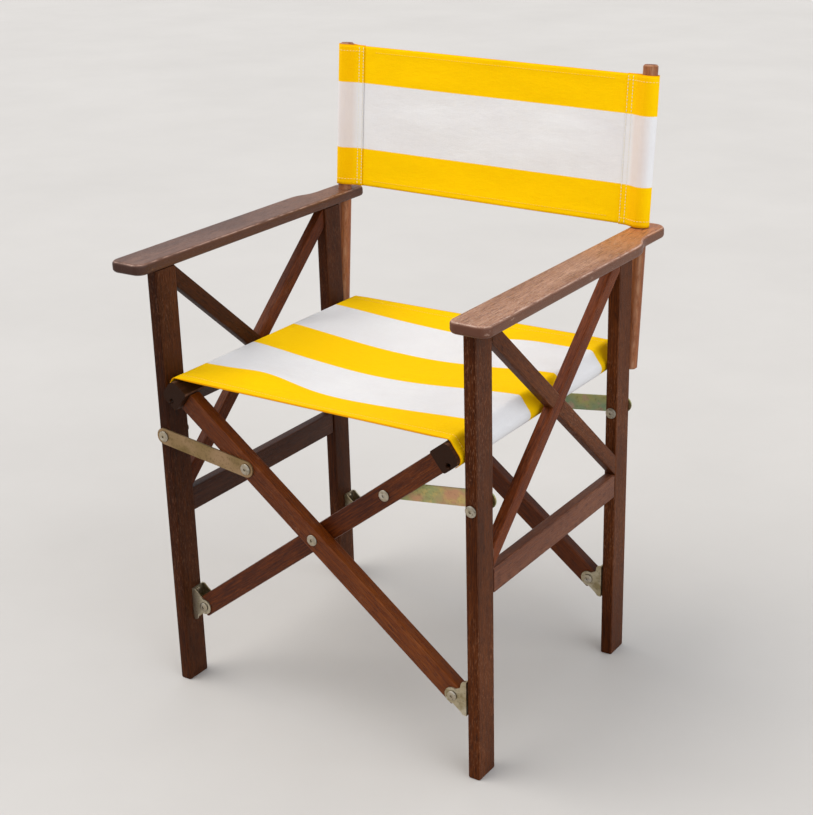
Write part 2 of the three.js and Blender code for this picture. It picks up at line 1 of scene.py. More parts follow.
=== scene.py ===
import bpy
import math
import numpy as np
from mathutils import Matrix, Vector


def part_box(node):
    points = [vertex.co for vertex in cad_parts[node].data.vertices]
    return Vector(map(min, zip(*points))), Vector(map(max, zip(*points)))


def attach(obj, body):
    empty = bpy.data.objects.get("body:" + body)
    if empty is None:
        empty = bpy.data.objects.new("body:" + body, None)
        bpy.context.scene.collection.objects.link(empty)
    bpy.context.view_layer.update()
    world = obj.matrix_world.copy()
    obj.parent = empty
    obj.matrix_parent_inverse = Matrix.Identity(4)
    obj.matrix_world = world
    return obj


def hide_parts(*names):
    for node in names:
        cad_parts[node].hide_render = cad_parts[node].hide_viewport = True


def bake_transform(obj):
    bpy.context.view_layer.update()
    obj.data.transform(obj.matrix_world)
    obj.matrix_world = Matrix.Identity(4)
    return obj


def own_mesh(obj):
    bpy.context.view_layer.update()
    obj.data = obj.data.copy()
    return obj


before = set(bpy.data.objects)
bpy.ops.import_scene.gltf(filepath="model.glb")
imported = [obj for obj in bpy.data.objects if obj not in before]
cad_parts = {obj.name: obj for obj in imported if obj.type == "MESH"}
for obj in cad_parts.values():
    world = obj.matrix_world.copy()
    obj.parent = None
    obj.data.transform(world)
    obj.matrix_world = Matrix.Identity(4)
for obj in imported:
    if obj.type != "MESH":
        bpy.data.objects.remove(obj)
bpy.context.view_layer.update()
print("frame loaded:", len(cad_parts), "pieces")


# places taken from the frame, in metres
def middleOf(node):
    low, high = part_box(node)
    return [(a + b) / 2 for a, b in zip(low, high)]


cross = middleOf("front_crossing_rivet")
lowPivot = middleOf("right_front_bracket_rivet")
railLow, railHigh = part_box("right_seat_rail")
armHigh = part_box("right_armrest")[1]
tilt = math.atan2(cross[2] - lowPivot[2], lowPivot[0] - cross[0])
halfBar = math.hypot(lowPivot[0] - cross[0], cross[2] - lowPivot[2])


# a shader socket that adds Math nodes when it is used in sums
class Wire:
    def __init__(self, shade, socket):
        self.shade = shade
        self.socket = socket

    def sums(self, operation, *others):
        return self.shade.add("ShaderNodeMath", {"operation": operation},
                              dict(enumerate((self,) + others)))

    def __add__(self, other): return self.sums("ADD", other)
    def __radd__(self, other): return self.sums("ADD", other)
    def __sub__(self, other): return self.sums("SUBTRACT", other)
    def __mul__(self, other): return self.sums("MULTIPLY", other)
    def __truediv__(self, other): return self.sums("DIVIDE", other)
    def __abs__(self): return self.sums("ABSOLUTE")

    def __rsub__(self, other):
        return self.shade.add("ShaderNodeMath", {"operation": "SUBTRACT"}, {0: other, 1: self})

    def top(self, other): return self.sums("MAXIMUM", other)
    def sine(self): return self.sums("SINE")

    def held(self):  # kept between 0 and 1
        return self.shade.add("ShaderNodeMath", {"operation": "ADD", "use_clamp": True},
                              {0: self, 1: 0.0})

    def ramp(self, low, high):  # 0 at low, 1 at high
        return ((self - low) / (high - low)).held()


# one material and the nodes in it
class Shade:
    def __init__(self, name):
        self.mat = bpy.data.materials.new(name)
        self.mat.use_nodes = True
        self.tree = self.mat.node_tree
        self.tree.nodes.clear()

    def add(self, kind, settings=None, values=None, out=0):
        node = self.tree.nodes.new(kind)
        for key, value in (settings or {}).items():
            if key == "stops":
                for i, (place, colour) in enumerate(value):
                    stops = node.color_ramp.elements
                    stop = stops[i] if i < len(stops) else stops.new(place)
                    stop.position = place
                    stop.color = (*colour, 1)
            else:
                setattr(node, key, value)
        for key, value in (values or {}).items():
            self.feed(node.inputs[key], value)
        return Wire(self, node.outputs[out])

    def feed(self, socket, value):
        if isinstance(value, Wire):
            self.tree.links.new(value.socket, socket)
        elif isinstance(value, (tuple, list)) and len(value) == 3 and socket.type == "RGBA":
            socket.default_value = (*value, 1)
        else:
            socket.default_value = value

    def blendColour(self, factor, a, b, mode="MIX"):
        settings = {"data_type": "RGBA", "blend_type": mode, "clamp_factor": True}
        return self.add("ShaderNodeMix", settings, {0: factor, 6: a, 7: b}, 2)

    def split(self, vector):
        node = self.add("ShaderNodeSeparateXYZ", None, {0: vector}).socket.node
        return [Wire(self, node.outputs[i]) for i in range(3)]

    def scaled(self, vector, factors):
        return self.add("ShaderNodeVectorMath", {"operation": "MULTIPLY"},
                        {0: vector, 1: factors})

    def noise(self, vector, scale, detail, rough):
        return self.add("ShaderNodeTexNoise", {"noise_dimensions": "3D"},
                        {"Vector": vector, "Scale": scale, "Detail": detail,
                         "Roughness": rough})

    def bump(self, height, distance, strength):
        return self.add("ShaderNodeBump", None,
                        {"Height": height, "Distance": distance, "Strength": strength})

    def finish(self, values):
        shader = self.add("ShaderNodeBsdfPrincipled", None, values)
        out = self.tree.nodes.new("ShaderNodeOutputMaterial")
        self.tree.links.new(shader.socket, out.inputs["Surface"])
        return self.mat


# colours from the deepest fibre to the light edge colour, which is wear and partly a painted
# highlight;
# flecks, wear and dust are shares (the dust partly a painted sheen), warm is the fresher rear of
# an armrest and flank its sides
woodTones = {
    "dark": {
        "deep": (0.016, 0.0026, 0.0004), "body": (0.066, 0.0140, 0.0014),
        "light": (0.130, 0.034, 0.0070), "edgeWearAndHighlight": (0.36, 0.17, 0.10),
        "fleck": (0.26, 0.115, 0.062), "rough": 0.46, "wearAndHighlight": 0.8, "coat": 0.0,
        "gloss": 0.07, "dustAndSheen": 0.10, "flecks": 0.42,
    },
    "bar": {
        "deep": (0.032, 0.0044, 0.0003), "body": (0.112, 0.0220, 0.0012),
        "light": (0.190, 0.048, 0.0060), "edgeWearAndHighlight": (0.42, 0.20, 0.12),
        "fleck": (0.26, 0.105, 0.050), "rough": 0.42, "wearAndHighlight": 0.9, "coat": 0.03,
        "gloss": 0.15, "flecks": 0.2,
    },
    "brace": {
        "deep": (0.040, 0.0062, 0.0010), "body": (0.142, 0.0290, 0.0050),
        "light": (0.240, 0.062, 0.015), "edgeWearAndHighlight": (0.42, 0.20, 0.13),
        "fleck": (0.26, 0.115, 0.065), "rough": 0.42, "wearAndHighlight": 0.9, "coat": 0.0,
        "gloss": 0.09, "flecks": 0.25,
    },
    "side": {
        "deep": (0.032, 0.0070, 0.0028), "body": (0.118, 0.0350, 0.0150),
        "light": (0.200, 0.074, 0.036), "edgeWearAndHighlight": (0.40, 0.20, 0.14),
        "fleck": (0.26, 0.125, 0.080), "rough": 0.42, "wearAndHighlight": 0.9, "coat": 0.0,
        "gloss": 0.14, "flecks": 0.25,
    },
    "rail": {
        "deep": (0.020, 0.0066, 0.0022), "body": (0.034, 0.0110, 0.0040),
        "light": (0.062, 0.022, 0.0090), "edgeWearAndHighlight": (0.15, 0.070, 0.040),
        "fleck": (0.085, 0.034, 0.018), "rough": 0.5, "wearAndHighlight": 0.7, "coat": 0.02,
        "gloss": 0.12, "flecks": 0.3,
    },
    "arm": {
        "deep": (0.105, 0.036, 0.019), "body": (0.300, 0.142, 0.088),
        "light": (0.480, 0.270, 0.180), "edgeWearAndHighlight": (0.62, 0.44, 0.35),
        "fleck": (0.56, 0.38, 0.29), "rough": 0.42, "wearAndHighlight": 0.75, "coat": 0.03,
        "gloss": 0.22, "warm": (0.45, 0.160, 0.050), "flank": (0.118, 0.042, 0.018),
        "flecks": 0.5,
    },
    "armLeft": {
        "deep": (0.045, 0.017, 0.010), "body": (0.135, 0.062, 0.040),
        "light": (0.235, 0.125, 0.090), "edgeWearAndHighlight": (0.48, 0.31, 0.24),
        "fleck": (0.34, 0.21, 0.15), "rough": 0.42, "wearAndHighlight": 0.75, "coat": 0.03,
        "gloss": 0.22, "warm": (0.17, 0.068, 0.030), "flank": (0.075, 0.024, 0.010),
        "flecks": 0.45,
    },
    "post": {
        "deep": (0.15, 0.040, 0.012), "body": (0.265, 0.082, 0.024),
        "light": (0.37, 0.135, 0.046), "edgeWearAndHighlight": (0.50, 0.27, 0.15),
        "fleck": (0.40, 0.18, 0.09), "rough": 0.42, "wearAndHighlight": 0.5, "coat": 0.08,
        "gloss": 0.25, "flecks": 0.3,
    },
    "rod": {
        "deep": (0.12, 0.055, 0.018), "body": (0.20, 0.10, 0.036),
        "light": (0.28, 0.15, 0.06), "edgeWearAndHighlight": (0.3, 0.17, 0.08), "fleck": (0.3, 0.17, 0.08),
        "rough": 0.6, "wearAndHighlight": 0.2, "coat": 0.0, "gloss": 0.2, "flecks": 0.2,
    },
}


def darker(tone, share):
    return {key: tuple(part * share for part in value) if isinstance(value, tuple) else value
            for key, value in woodTones[tone].items()}


# the left frame's wood gets darker copies of the same tones: painted shade
for tone, share in (("dark", 0.62), ("brace", 0.60), ("side", 0.45)):
    woodTones[tone + "Left"] = darker(tone, share)

woodGrain = {
    # how often each pattern changes in a metre, along the fibres and across them
    "figure": (1.6, 17, 17), "fibre": (22, 460, 460), "vessels": (70, 1500, 1500),
    "pores": (170, 820, 820), "rub": (60, 120, 120), "cloud": (5, 11, 11),
    # the grain's depth, and where along Y an armrest grows warmer and its nose darker
    "relief": 0.00022, "elbow": (0.04, 0.21), "nose": (-0.215, -0.258),
}


def grainTurn(grain, flat):
    # turns a piece's coordinates so that the grain runs along X and the flat face looks along Y
    a = Vector(grain).normalized()
    b = (Vector(flat) - a * Vector(flat).dot(a)).normalized()
    return Matrix((a, b, a.cross(b))).to_euler()


def woodMaterial(name, tone, grain, flat, shift=(0, 0, 0)):
    # grain is the way the fibres run in the piece, flat the way one of its flat faces looks
    t = woodTones[tone]
    g = woodGrain
    s = Shade(name)
    turn = grainTurn(grain, flat)
    coords = s.add("ShaderNodeTexCoord", None, None, 3)
    normal = Wire(s, coords.socket.node.outputs[1])
    along = s.add("ShaderNodeMapping", {"vector_type": "POINT"},
                  {0: coords, 1: shift, 2: turn})
    facing = s.add("ShaderNodeMapping", {"vector_type": "VECTOR"}, {0: normal, 2: turn})
    nx, ny, nz = [abs(part) for part in s.split(facing)]
    upward = s.split(normal)[2]
    if "flank" in t:  # an armrest is lighter in a thin line along its top's rounded edge: wear and partly a painted highlight
        edgeMask = (1.0 - abs(upward - 0.78) * 6.0).held()
    # other pieces are lighter on their rounded arrises: wear and partly a painted highlight
    else:
        edgeMask = (1.0 - nx.top(ny).top(nz)).ramp(0.04, 0.27)
    endMask = nx.ramp(0.75, 0.95)
    figure = s.noise(s.scaled(along, g["figure"]), 1.0, 3.0, 0.5)
    fibre = s.noise(s.scaled(along, g["fibre"]), 1.0, 4.0, 0.68)
    vessels = s.noise(s.scaled(along, g["vessels"]), 1.0, 2.0, 0.5)
    pores = s.noise(s.scaled(along, g["pores"]), 1.0, 2.0, 0.5)
    rub = s.noise(s.scaled(along, g["rub"]), 1.0, 5.0, 0.7)
    cloud = s.noise(s.scaled(along, g["cloud"]), 1.0, 3.0, 0.55)
    tint = (figure * 0.38 + fibre * 0.46 + cloud * 0.16).ramp(0.35, 0.65)
    stops = [(0.0, t["deep"]), (0.5, t["body"]), (1.0, t["light"])]
    base = s.add("ShaderNodeValToRGB", {"stops": stops}, {0: tint})
    if "warm" in t:  # the varnish is fresher behind the sitter's elbow
        fresh = s.split(coords)[1].ramp(*g["elbow"]) * (0.55 + figure * 0.7)
        base = s.blendColour(fresh.held(), base, t["warm"])
    if "dustAndSheen" in t:  # the legs' faces that look sideways are paler: pale dust and a painted sheen of the side light
        base = s.blendColour(ny.ramp(0.7, 0.9) * (0.4 + rub) * t["dustAndSheen"], base, t["fleck"])
    base = s.blendColour(vessels.ramp(0.53, 0.62) * 0.75, base, t["deep"])
    pale = pores.ramp(0.43, 0.33) * t["flecks"] * cloud.ramp(0.36, 0.60)
    base = s.blendColour(pale, base, t["fleck"])
    if "flank" in t:  # its sides and underside keep their dark varnish
        nose = s.split(coords)[1].ramp(*g["nose"])
        side = s.blendColour(nose, t["flank"], t["deep"])
        side = s.blendColour(fibre.ramp(0.35, 0.6) * 0.5, side, t["deep"])
        base = s.blendColour(upward.ramp(0.80, 0.35) * 0.92, base, side)
    # the rounded edges get wear and partly a painted highlight; the scuffs are wear only
    edgeWearAndHighlight = (edgeMask * rub.ramp(0.38, 0.58) * t["wearAndHighlight"]).held()
    scuff = (rub.ramp(0.60, 0.70) * cloud.ramp(0.45, 0.6) * 0.5 * t["wearAndHighlight"]).held()
    base = s.blendColour(scuff, base, t["fleck"])
    base = s.blendColour(edgeWearAndHighlight, base, t["edgeWearAndHighlight"])
    base = s.blendColour(endMask * 0.85, base, t["deep"])
    rough = t["rough"] + (fibre - 0.5) * 0.3 + edgeWearAndHighlight * 0.15 + scuff * 0.2 + endMask * 0.25
    relief = fibre * 0.6 + rub * 0.25 - vessels.ramp(0.54, 0.64) * 0.6
    return s.finish({"Base Color": base, "Roughness": rough.held(), "Coat Weight": t["coat"],
                     "Coat Roughness": 0.25, "Specular IOR Level": t["gloss"],
                     "Normal": s.bump(relief, g["relief"], 0.9)})


def steelMaterial(name, colours, rough, tarnish, sheen=9.0, hollow=False):
    # plated steel: colours are shade, body, second tint and third tint, and sheen is how often
    # the tints change in a metre
    s = Shade(name)
    coords = s.add("ShaderNodeTexCoord", None, None, 3)
    wash = s.noise(coords, sheen * 2.2, 2.0, 0.5)
    bloom = s.noise(s.scaled(coords, (1, 1, 1.4)), sheen * 4.1, 3.0, 0.6)
    speck = s.noise(coords, 900.0, 2.0, 0.6)
    spots = s.noise(coords, 260.0, 3.0, 0.7)
    scratch = s.noise(s.scaled(coords, (60, 900, 900)), 1.0, 2.0, 0.5)
    base = s.blendColour(wash.ramp(0.42, 0.6), colours[1], colours[2])
    base = s.blendColour(bloom.ramp(0.5, 0.66), base, colours[3])
    base = s.blendColour(spots.ramp(0.56, 0.7) * tarnish, base, colours[0])
    if hollow:  # the dimple's slanting wall and the rim's foot hold dirt
        slope = abs(s.split(Wire(s, coords.socket.node.outputs[1]))[1])
        base = s.blendColour(slope.ramp(0.9, 0.35) * 0.75, base, colours[0])
    roughness = (rough + speck * 0.1 + spots.ramp(0.5, 0.7) * 0.25).held()
    metal = 1.0 - spots.ramp(0.6, 0.75) * 0.5 * tarnish
    relief = speck * 0.4 + scratch * 0.6
    return s.finish({"Base Color": base, "Metallic": metal, "Roughness": roughness,
                     "Normal": s.bump(relief, 0.00005, 0.6)})


clothLook = {
    "yellow": (0.97, 0.545, 0.0), "yellowLight": (1.0, 0.62, 0.0), "hem": (0.86, 0.36, 0.0),
    "white": (0.81, 0.79, 0.785), "whiteShade": (0.745, 0.72, 0.72),
    "yarn": 0.00062, "ragged": 0.0011, "soft": 0.0005, "rim": (0.0009, 0.0003),
    # behind, through and fade: the painted shade where a post shows through a sleeve's thin cloth
    "behind": (0.86, 0.66, 0.55), "through": 0.42, "fade": (0.010, -0.012),
    "weave": 0.00016, "crease": 0.0025,
}


def clothMaterial(name, stripes, ends, through=None, brightness=1.0):
    # uv is in metres: u along the stripes, v across them; stripes are the white bands' edges,
    # ends the cloth's own two edges, through the part of u that lies on dark wood and gets painted
    # shade, and the last argument a factor that scales the cloth's colour down
    look = clothLook
    s = Shade(name)
    uv = s.add("ShaderNodeUVMap", {"uv_map": "cloth"}, None)
    u, v, _ = s.split(uv)
    soft = look["soft"]
    ragged = s.noise(s.scaled(uv, (900, 60, 1)), 1.0, 2.0, 0.6) - 0.5
    edge = v + ragged * look["ragged"]
    white = None
    for low, high in stripes:
        part = edge.ramp(low - soft, low + soft) * (1.0 - edge.ramp(high - soft, high + soft))
        white = part if white is None else white + part
    warp = (u * (math.pi / look["yarn"])).sine()
    weft = (v * (math.pi / look["yarn"])).sine()
    weave = warp * weft
    slubU = s.noise(s.scaled(uv, (60, 1400, 1)), 1.0, 2.0, 0.6)
    slubV = s.noise(s.scaled(uv, (1400, 60, 1)), 1.0, 2.0, 0.6)
    soil = s.noise(s.scaled(uv, (11, 11, 1)), 1.0, 4.0, 0.6)
    yellow = s.blendColour(slubU.ramp(0.3, 0.75), look["yellow"], look["yellowLight"])
    pale = s.blendColour(soil.ramp(0.35, 0.75), look["white"], look["whiteShade"])
    base = s.blendColour(white, yellow, pale)
    # painted shade: darker and pinker where the dark post shows through the thin cloth
    if through:
        start, end = [u.ramp(place, place + fade) for place, fade in zip(through, look["fade"])]
        paintedPostShade = start * end
        base = s.blendColour(paintedPostShade * look["through"], base, look["behind"], "MULTIPLY")
    wide, fine = look["rim"]
    rim = v.ramp(ends[0] + wide, ends[0] + fine) + v.ramp(ends[1] - wide, ends[1] - fine)
    base = s.blendColour(rim.held(), base, look["hem"])
    shade = (0.93 + slubV * 0.1 + weave * 0.035 + (soil - 0.5) * 0.08).held() * brightness
    base = s.add("ShaderNodeVectorMath", {"operation": "SCALE"}, {0: base, 3: shade})
    relief = weave * 0.5 + slubU * 0.4 + slubV * 0.4
    crease = s.noise(s.scaled(uv, (14, 30, 1)), 1.0, 4.0, 0.6)
    creased = s.bump(crease, look["crease"], 0.5)
    woven = s.add("ShaderNodeBump", None, {"Height": relief, "Distance": look["weave"],
                                           "Strength": 0.7, "Normal": creased})
    return s.finish({"Base Color": base, "Roughness": 0.9, "Specular IOR Level": 0.05,
                     "Normal": woven})


def threadMaterial(name, colour):
    s = Shade(name)
    coords = s.add("ShaderNodeTexCoord", None, None, 3)
    ply = s.noise(coords, 2600.0, 2.0, 0.6)
    base = s.blendColour(ply.ramp(0.3, 0.7), colour, tuple(c * 0.78 for c in colour))
    return s.finish({"Base Color": base, "Roughness": 0.8, "Sheen Weight": 0.15,
                     "Normal": s.bump(ply, 0.0001, 0.6)})


def dress(node, material):
    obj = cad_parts[node]
    obj.data.materials.clear()
    obj.data.materials.append(material)


barLeft = (-math.cos(tilt), 0, math.sin(tilt))
barRight = (math.cos(tilt), 0, math.sin(tilt))
leaning = {"brace": math.radians(41.4), "post": math.radians(5.5)}  # from level, from upright
rising = (0, math.cos(leaning["brace"]), math.sin(leaning["brace"]))
falling = (0, -math.cos(leaning["brace"]), math.sin(leaning["brace"]))
postLean = (0, math.sin(leaning["post"]), math.cos(leaning["post"]))
acrossX, alongY, upZ = (1, 0, 0), (0, 1, 0), (0, 0, 1)
woods = [
    ("front_leg", "dark", upZ, acrossX), ("back_leg", "dark", upZ, acrossX),
    ("side_rail", "side", alongY, acrossX), ("armrest", "arm", alongY, upZ),
    ("brace_rising", "brace", rising, acrossX), ("brace_falling", "dark", falling, acrossX),
    ("back_post", "post", postLean, acrossX), ("hem_rod", "rod", alongY, acrossX),
]
for i, side in enumerate(("left", "right")):
    for j, (piece, tone, grain, flat) in enumerate(woods):
        shift = (0.37 * j + 2.1 * i, 0, 0.19 * j)
        if side == "left" and tone + "Left" in woodTones:
            tone += "Left"
        dress(f"{side}_{piece}", woodMaterial(f"{side}_{piece}_wood", tone, grain, flat, shift))
for kind, side, grain in (("a", "right", barRight), ("b", "left", barLeft)):
    wood = woodMaterial("bar_wood_" + kind, "bar", grain, alongY, (0.9, 0, 0))
    dress("front_bar_" + kind, wood)
    dress("back_bar_" + kind, wood)
    square = (-grain[2], 0, grain[0])
    wood = woodMaterial(side + "_seat_rail_wood", "rail", alongY, square, (1.7, 0, 0))
    dress(side + "_seat_rail", wood)

paleZinc = steelMaterial("paleZinc", [(0.13, 0.080, 0.035), (0.250, 0.170, 0.070),
                                      (0.36, 0.235, 0.130), (0.20, 0.135, 0.055)], 0.40, 0.45, 7.0)
bracketZinc = steelMaterial("bracketZinc", [(0.15, 0.11, 0.06), (0.40, 0.33, 0.20),
                                            (0.52, 0.46, 0.34), (0.30, 0.24, 0.13)], 0.36, 0.5)
pinkZinc = steelMaterial("pinkZinc", [(0.26, 0.15, 0.08), (0.56, 0.31, 0.18),
                                      (0.36, 0.38, 0.17), (0.60, 0.45, 0.17)], 0.34, 0.25, 13.0)
oliveZinc = steelMaterial("oliveZinc", [(0.20, 0.17, 0.07), (0.42, 0.40, 0.16),
                                        (0.25, 0.33, 0.20), (0.50, 0.30, 0.24)], 0.34, 0.25, 12.0)
rivetSteel = steelMaterial("rivetSteel", [(0.08, 0.055, 0.035), (0.42, 0.355, 0.255),
                                          (0.34, 0.30, 0.24), (0.50, 0.455, 0.38)],
                           0.36, 0.6, 20.0, True)
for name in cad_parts:
    if name.endswith("rivet") or name.endswith("cap"):
        dress(name, rivetSteel)
    elif name.endswith("_right_link"):
        dress(name, pinkZinc if name.startswith("front") else oliveZinc)
    elif name.endswith("_left_link"):
        dress(name, paleZinc)
    elif name.endswith("bracket") or "screw" in name:
        dress(name, bracketZinc)


# a Geometry Nodes tree with named inputs
class Growth:
    def __init__(self, name, inputs):
        self.tree = bpy.data.node_groups.new(name, "GeometryNodeTree")
        face = self.tree.interface
        for label, kind in [("Geometry", "Geometry")] + inputs:
            face.new_socket(label, in_out="INPUT", socket_type="NodeSocket" + kind)
        face.new_socket("Geometry", in_out="OUTPUT", socket_type="NodeSocketGeometry")
        self.given = self.tree.nodes.new("NodeGroupInput").outputs

    def add(self, kind, settings=None, values=None, out=0):
        node = self.tree.nodes.new(kind)
        for key, value in (settings or {}).items():
            setattr(node, key, value)
        for key, value in (values or {}).items():
            if isinstance(value, bpy.types.NodeSocket):
                self.tree.links.new(value, node.inputs[key])
            else:
                node.inputs[key].default_value = value
        return node.outputs[out]

    def shaped(self, geometry):
        end = self.tree.nodes.new("NodeGroupOutput")
        self.tree.links.new(geometry, end.inputs[0])
        return self.tree

    def painted(self, geometry):
        real = self.add("GeometryNodeRealizeInstances", None, {0: geometry})
        return self.shaped(self.add("GeometryNodeSetMaterial", None, {
            "Geometry": real, "Material": self.given["Material"]}))


def socketId(tree, name):
    for item in tree.interface.items_tree:
        if item.in_out == "INPUT" and item.name == name:
            return item.identifier
    raise KeyError(name)


rounding = {"join": 0.00001, "sharpAbove": math.radians(38), "faceWeight": 60}


def roundedLook():
    # joins a frame mesh's loose triangles and shades its rounded parts smoothly
    g = Growth("roundedLook", [("Sharp", "Float")])
    whole = g.add("GeometryNodeMergeByDistance", None, {
        "Geometry": g.given["Geometry"], "Distance": rounding["join"]})
    smooth = g.add("GeometryNodeSetShadeSmooth", {"domain": "FACE"}, {"Geometry": whole})
    angle = g.add("GeometryNodeInputMeshEdgeAngle")
    sharp = g.add("FunctionNodeCompare", {"operation": "GREATER_THAN"},
                  {0: angle, 1: g.given["Sharp"]})
    crisp = g.add("GeometryNodeSetShadeSmooth", {"domain": "EDGE"}, {
        "Geometry": smooth, "Selection": sharp, "Shade Smooth": False})
    return g.shaped(crisp)


rounded = roundedLook()
for name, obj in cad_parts.items():
    if name in ("seat_cloth", "back_cloth"):
        continue
    modifier = obj.modifiers.new("roundedLook", "NODES")
    modifier.node_group = rounded
    modifier[socketId(rounded, "Sharp")] = rounding["sharpAbove"]
    weighted = obj.modifiers.new("weighted", "WEIGHTED_NORMAL")
    weighted.keep_sharp = True
    weighted.weight = rounding["faceWeight"]
print("wood and steel finished")


def linked(name, data):
    obj = bpy.data.objects.new(name, data)
    bpy.context.scene.collection.objects.link(obj)
    return obj


def normals(grid):
    normal = np.cross(np.gradient(grid, axis=0), np.gradient(grid, axis=1))
    return normal / np.linalg.norm(normal, axis=2, keepdims=True)


def closeSheet(name, grid, uvs, thick, material):
    # grid: rows x columns x 3 points of the middle surface; thick: rows x columns
    rows, cols, _ = grid.shape
    normal = normals(grid)
    half = (thick / 2)[:, :, None]
    points = np.concatenate([(grid + normal * half).reshape(-1, 3),
                             (grid - normal * half).reshape(-1, 3)])
    count = rows * cols
    at = lambda i, j: i * cols + j
    faces = []
    for i in range(rows - 1):
        for j in range(cols - 1):
            a, b, c, d = at(i, j), at(i + 1, j), at(i + 1, j + 1), at(i, j + 1)
            faces.append((a, b, c, d))
            faces.append((d + count, c + count, b + count, a + count))
    rim = [at(i, 0) for i in range(rows)] + [at(rows - 1, j) for j in range(1, cols)]
    rim += [at(i, cols - 1) for i in range(rows - 2, -1, -1)]
    rim += [at(0, j) for j in range(cols - 2, 0, -1)]
    for p, q in zip(rim, rim[1:] + rim[:1]):
        faces.append((q, p, p + count, q + count))
    mesh = bpy.data.meshes.new(name)
    mesh.from_pydata([tuple(p) for p in points], [], faces)
    layer = mesh.uv_layers.new(name="cloth")
    flat = np.concatenate([uvs.reshape(-1, 2)] * 2)
    corner = np.zeros(len(mesh.loops), dtype=np.int64)
    mesh.loops.foreach_get("vertex_index", corner)
    layer.data.foreach_set("uv", flat[corner].astype(np.float32).ravel())
    mesh.polygons.foreach_set("use_smooth", np.ones(len(mesh.polygons), dtype=bool))
    mesh.materials.append(material)
    mesh.update()
    return linked(name, mesh)


def hemmed(values, fromEdge, inside):
    # a sheet's thickness, with its hem folded over along both edges
    fold = 1 - np.clip((fromEdge - values["hem"]) / values["hemStep"], 0, 1)
    return values["thick"] + values["hemExtra"] * fold * inside


def ripple(x, y, seed, terms=9, longest=0.34, shortest=0.09):
    # a smooth, repeatable unevenness of about -1 to 1
    rng = np.random.default_rng(seed)
    total = np.zeros_like(x)
    for _ in range(terms):
        wave = rng.uniform(shortest, longest)
        way = rng.uniform(0, math.pi)
        phase = rng.uniform(0, 2 * math.pi)
        along = x * math.cos(way) + y * math.sin(way)
        total += np.sin(along * 2 * math.pi / wave + phase) * wave / longest
    return total / (terms * 0.45)


seat = {
    "thick": 0.0011, "hem": 0.016, "hemExtra": 0.0012, "hemStep": 0.0015, "stitchIn": 0.0135,
    "setback": 0.006,
    # the right rail's section and the cloth's way round it
    "along": 0.031, "wide": 0.0335, "raise": 0.0005, "round": 0.010, "groove": -0.002,
    "slot": 0.003, "off": 0.0004, "leave": 0.12, "lift": 0.0040,
    # how it hangs; the front hem holds it up further in than the back one
    "sag": 0.0150, "frontPower": 2.4, "backPower": 4.0, "ripple": 0.0011,
    # where the cloth rides up: x, y, half width, half depth, height
    "swells": [(-0.112, -0.166, 0.060, 0.034, 0.0100), (0.120, 0.150, 0.050, 0.030, 0.0040)],
    "stripes": [(-0.1625, -0.0565), (0.040, 0.1485)],
}


def railPath(count=7):
    # the seat cloth's way round the right rail, from its top to the groove
    q = seat
    off = q["off"] + q["thick"] / 2
    x, y, r = q["along"] / 2, q["wide"] / 2, q["round"]
    turn = []
    for angle in np.linspace(math.pi / 2 - tilt + q["leave"], 0, count):
        # loose on top of the rail, tight outside it
        out = r + off + q["lift"] * max(0, math.sin(angle + tilt)) ** 6
        turn.append((x - r + out * math.cos(angle), y - r + out * math.sin(angle)))
    for angle in np.linspace(0, -math.pi / 2, count)[0 if y > r else 1:]:
        turn.append((x - r + (r + off) * math.cos(angle), -y + r + (r + off) * math.sin(angle)))
    turn.append((q["groove"] + q["slot"], -y - off))
    path = []
    for px, py in turn:
        along, up = halfBar + px, q["raise"] + py
        path.append((along * math.cos(tilt) - up * math.sin(tilt),
                     cross[2] + along * math.sin(tilt) + up * math.cos(tilt)))
    return np.array(path)


def seatGrid(rows=92, cols=112):
    q = seat
    side = railPath()
    x1, z1 = side[0]
    inner = np.linspace(0, 1, rows // 2 + 1)[:-1]
    shares = np.concatenate([inner, np.ones(len(side))])
    halfX = np.concatenate([inner * x1, side[:, 0]])
    halfZ = np.concatenate([np.full(len(inner), z1), side[:, 1]])
    xs = np.concatenate([-halfX[:0:-1], halfX])
    zs = np.concatenate([halfZ[:0:-1], halfZ])
    share = np.concatenate([shares[:0:-1], shares])
    y0, y1 = railLow[1] + q["setback"], railHigh[1] - q["setback"]
    middle, reach = (y0 + y1) / 2, (y1 - y0) / 2
    t = np.arange(cols) / (cols - 1) * 2 - 1
    t = np.sign(t) * (1 - (1 - np.abs(t)) ** 1.35) * 0.5 + t * 0.5  # closer at both hems
    ys = middle + t * (y1 - y0) / 2
    gx, gy = np.meshgrid(xs, ys, indexing="ij")
    free = (1 - share ** 2)[:, None] * np.ones_like(gy)
    there = (gy - middle) / reach
    power = np.where(there < 0, q["frontPower"], q["backPower"])
    across = np.clip(1 - np.abs(there) ** power, 0, 1) ** 0.85
    drop = q["sag"] * free ** 1.5 * across
    wave = ripple(gx, gy, 7) * q["ripple"] * np.clip(free * 4, 0, 1) * (0.35 + 0.65 * across)
    for fx, fy, wide, long, high in q["swells"]:
        swell = np.exp(-((gx - fx) / wide) ** 2 - ((gy - fy) / long) ** 2)
        wave += high * swell * np.clip(free * 5, 0, 1) * np.clip((1 - np.abs(there)) * 9, 0, 1)
    gz = zs[:, None] - drop + wave
    grid = np.stack([gx, gy, gz], axis=2)
    steps = np.hypot(np.diff(xs), np.diff(zs))
    run = np.concatenate([[0], np.cumsum(steps)])
    uvs = np.stack(np.meshgrid(run - run[-1] / 2, ys, indexing="ij"), axis=2)
    thick = hemmed(q, reach - np.abs(gy - middle), np.clip(free * 6, 0, 1))
    return grid, uvs, thick, run[-1], y1 - y0


